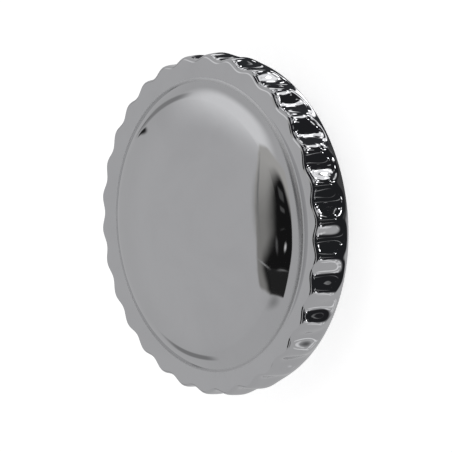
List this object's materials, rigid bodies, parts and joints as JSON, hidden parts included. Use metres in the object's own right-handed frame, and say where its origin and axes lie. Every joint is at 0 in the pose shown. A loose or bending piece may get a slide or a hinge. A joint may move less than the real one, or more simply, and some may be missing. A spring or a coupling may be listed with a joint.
{
  "type": "oil filler cap",
  "caption": "Round chrome filler cap with a domed face, a fluted grip skirt, a sealing ring and a sprung bayonet strap beneath.",
  "frame": {"origin": "on the cap's axis, at the underside of the rolled hem that it stands on", "axes": "+Z along the cap's axis, up through the dome; +X along the bayonet strap towards one ear; a flute's ridge lies on +X"},
  "size_m": [0.0714, 0.0712, 0.016],
  "materials": {
    "chrome_shell": "bright chrome plate, mirror polished",
    "zinc_pan": "bright zinc plate with a faint yellow passivation, dull satin",
    "seal_rubber": "matte black oil resistant rubber",
    "strap_steel": "bright zinc plate, satin",
    "spring_steel": "oil blued spring steel",
    "rivet_steel": "bright zinc plate, lightly hammered"
  },
  "bodies": {
    "cap": {"outer_shell": "chrome_shell", "inner_pan": "zinc_pan", "sealing_gasket": "seal_rubber", "leaf_spring": "spring_steel", "rivet_washer": "rivet_steel", "centre_rivet": "rivet_steel"},
    "strap": {"bayonet_strap": "strap_steel"}
  },
  "joints": [
    {"name": "strap_travel", "type": "slide", "parent": "cap", "child": "strap", "axis": [0, 0, -1], "range_m": [0, 0.0015], "stiffness_N_per_m": 8000, "springref_m": -0.001, "deforming": ["leaf_spring"]}
  ]
}
